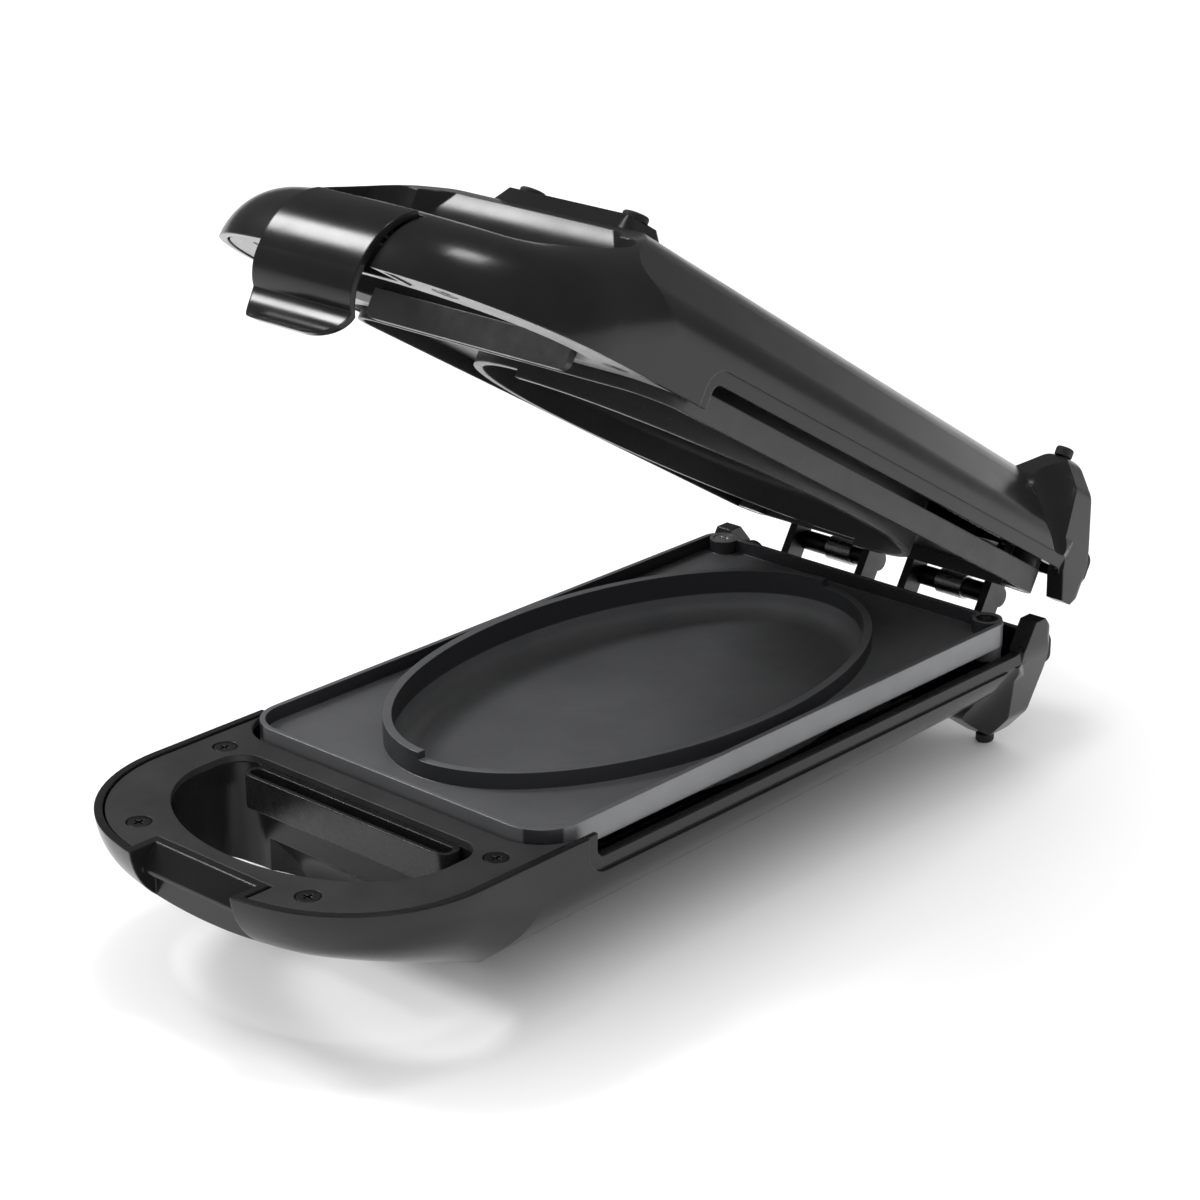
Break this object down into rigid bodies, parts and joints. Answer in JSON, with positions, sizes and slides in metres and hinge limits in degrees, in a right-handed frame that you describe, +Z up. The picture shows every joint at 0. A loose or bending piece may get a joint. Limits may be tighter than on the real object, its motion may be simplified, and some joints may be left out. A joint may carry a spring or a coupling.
{
  "type": "hinged sandwich maker",
  "caption": "Countertop cooker with two hinged halves, oval non-stick moulds, open grip handles, a swinging front latch and horn feet that let the lid stand open.",
  "frame": {"origin": "centre of the bounding box of the open rest pose in X and Y, on the plane that the feet stand on", "axes": "+X to the right seen from the handle, +Y from the handle to the hinge, +Z up"},
  "size_m": [0.141, 0.3682, 0.232],
  "materials": {
    "housing_plastic": "glossy black heat-resistant plastic",
    "handle_plastic": "satin dark grey heat-resistant plastic",
    "latch_plastic": "glossy black plastic",
    "non_stick_metal": "cast aluminium with a satin grey non-stick coating",
    "dark_screw_steel": "darkened steel",
    "bright_steel": "zinc-plated steel",
    "foot_rubber": "matt black rubber",
    "sheet_steel": "plain sheet steel",
    "hinge_steel": "dark steel",
    "heat_proof_ceramic": "off-white heat-proof ceramic",
    "wire_sleeve": "woven glass sleeve over copper wire"
  },
  "bodies": {
    "base": {"base_housing": "housing_plastic", "base_handle_plate": "handle_plastic", "base_handle_screws": "dark_screw_steel", "base_grip_channel": "handle_plastic", "base_tray": "non_stick_metal", "base_tray_screws": "bright_steel", "base_heating_element": "sheet_steel", "base_element_clamps": "sheet_steel", "base_reflector": "sheet_steel", "base_thermostat": "heat_proof_ceramic", "base_thermal_fuse": "heat_proof_ceramic", "base_terminal_block": "heat_proof_ceramic", "base_wiring": "wire_sleeve", "cord_inlet_bush": "foot_rubber", "base_front_feet": "foot_rubber", "base_horn_pads": "foot_rubber", "base_rest_pads": "foot_rubber", "base_hinge_brackets": "hinge_steel", "base_bracket_screws": "bright_steel", "hinge_pins": "bright_steel"},
    "lid": {"lid_housing": "housing_plastic", "lid_handle_plate": "handle_plastic", "lid_handle_screws": "dark_screw_steel", "lid_shield_bar": "handle_plastic", "lid_tray": "non_stick_metal", "lid_tray_screws": "bright_steel", "lid_heating_element": "sheet_steel", "lid_element_clamps": "sheet_steel", "lid_reflector": "sheet_steel", "lid_thermal_fuse": "heat_proof_ceramic", "lid_wiring": "wire_sleeve", "lid_front_feet": "foot_rubber", "lid_horn_pads": "foot_rubber", "lid_rest_pads": "foot_rubber", "lid_hinge_arms": "hinge_steel", "hinge_sleeves": "bright_steel", "lid_arm_screws": "bright_steel", "latch_pin": "bright_steel", "latch_spring": "bright_steel"},
    "latch": {"latch_cover": "latch_plastic"}
  },
  "joints": [
    {"name": "lid_hinge", "type": "hinge", "parent": "base", "child": "lid", "pos_m": [0, 0.13499, 0.0308], "axis": [-1, 0, 0], "range_deg": [-30.8, 64.2]},
    {"name": "latch_swing", "type": "hinge", "parent": "lid", "child": "latch", "pos_m": [0, -0.11064, 0.22612], "axis": [-1, 0, 0], "range_deg": [-3, 10], "stiffness_Nm_per_rad": 0.08}
  ]
}
